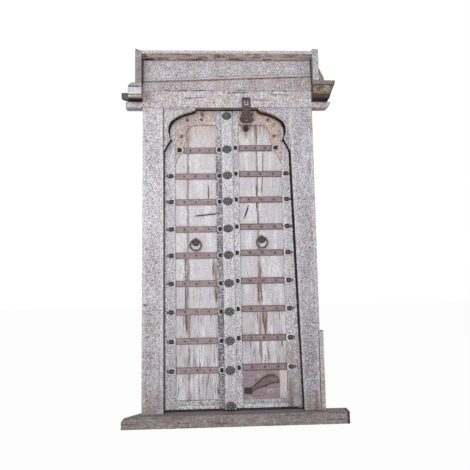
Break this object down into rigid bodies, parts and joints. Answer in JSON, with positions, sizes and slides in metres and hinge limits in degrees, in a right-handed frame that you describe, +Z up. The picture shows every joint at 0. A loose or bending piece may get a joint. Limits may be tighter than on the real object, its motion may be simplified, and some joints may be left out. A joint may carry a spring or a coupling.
{
  "type": "carved door with frame",
  "caption": "Weathered carved teak door with swinging leaves in a cusped-arch frame with cornice and sill, iron straps, ring pulls, a hasp and a latch.",
  "frame": {"origin": "on the floor under the sill, midway between the posts, in the plane of their front faces", "axes": "+Z up, +Y back through the doorway, +X to the right as seen from the front"},
  "size_m": [1.472, 0.22, 2.479],
  "materials": {
    "weathered_teak": "carved, grey and weathered",
    "sill_teak": "rough, grey brown",
    "bleached_plank": "bleached, cracked",
    "repair_teak": "brown, dry",
    "strap_iron": "dull, rusted mauve brown",
    "black_iron": "dark, pitted",
    "boss_iron": "dark grey, cast rosettes"
  },
  "bodies": {
    "frame": {"sill": "sill_teak", "left_post": "weathered_teak", "right_post": "weathered_teak", "post_repair_strip": "weathered_teak", "lintel": "weathered_teak", "left_spandrel": "weathered_teak", "right_spandrel": "weathered_teak", "lower_frieze_board": "weathered_teak", "upper_frieze_board": "weathered_teak", "cornice_top_board": "weathered_teak", "left_end_board": "weathered_teak", "right_end_board": "weathered_teak", "left_corbel": "weathered_teak", "right_corbel": "weathered_teak", "head_beam": "weathered_teak", "hasp_staple": "black_iron"},
    "left_leaf": {"left_pivot_stile": "weathered_teak", "left_meeting_stile": "weathered_teak", "left_arch_rail": "weathered_teak", "left_bottom_rail": "weathered_teak", "left_outer_plank": "bleached_plank", "left_inner_plank": "bleached_plank", "left_strap_1": "strap_iron", "left_strap_2": "strap_iron", "left_strap_3": "strap_iron", "left_strap_4": "strap_iron", "left_strap_5": "strap_iron", "left_strap_6": "strap_iron", "left_strap_7": "strap_iron", "left_strap_8": "strap_iron", "left_strap_9": "strap_iron", "left_nails": "black_iron", "left_ring_mount": "black_iron", "astragal": "weathered_teak", "astragal_bosses": "boss_iron"},
    "right_leaf": {"right_pivot_stile": "weathered_teak", "right_meeting_stile": "weathered_teak", "right_arch_rail": "weathered_teak", "right_bottom_rail": "weathered_teak", "right_outer_plank": "bleached_plank", "right_inner_plank": "bleached_plank", "right_strap_1": "strap_iron", "right_strap_2": "strap_iron", "right_strap_3": "strap_iron", "right_strap_4": "strap_iron", "right_strap_5": "strap_iron", "right_strap_6": "strap_iron", "right_strap_7": "strap_iron", "right_strap_8": "strap_iron", "right_strap_9": "strap_iron", "right_nails": "black_iron", "right_ring_mount": "black_iron", "leaf_staple": "black_iron", "repair_board": "repair_teak", "repair_upright": "bleached_plank", "latch_studs": "black_iron"},
    "left_ring": {"left_ring": "black_iron"},
    "right_ring": {"right_ring": "black_iron"},
    "hasp": {"hasp": "black_iron"},
    "latch": {"latch_bar": "black_iron"}
  },
  "joints": [
    {"name": "left_leaf_swing", "type": "hinge", "parent": "frame", "child": "left_leaf", "pos_m": [-0.45, 0.087, 0.075], "axis": [0, 0, 1], "range_deg": [0, 100]},
    {"name": "right_leaf_swing", "type": "hinge", "parent": "frame", "child": "right_leaf", "pos_m": [0.45, 0.087, 0.075], "axis": [0, 0, -1], "range_deg": [0, 100]},
    {"name": "left_ring_swing", "type": "hinge", "parent": "left_leaf", "child": "left_ring", "pos_m": [-0.23, 0.0565, 1.1943], "axis": [-1, 0, 0], "range_deg": [-6, 170]},
    {"name": "right_ring_swing", "type": "hinge", "parent": "right_leaf", "child": "right_ring", "pos_m": [0.219, 0.0565, 1.2083], "axis": [-1, 0, 0], "range_deg": [-6, 170]},
    {"name": "hasp_swing", "type": "hinge", "parent": "frame", "child": "hasp", "pos_m": [0.124, -0.02, 2.15], "axis": [-1, 0, 0], "range_deg": [0, 90]},
    {"name": "latch_turn", "type": "hinge", "parent": "right_leaf", "child": "latch", "pos_m": [0.108, 0.0587, 0.194], "axis": [0, -1, 0], "range_deg": [0, 45]}
  ]
}
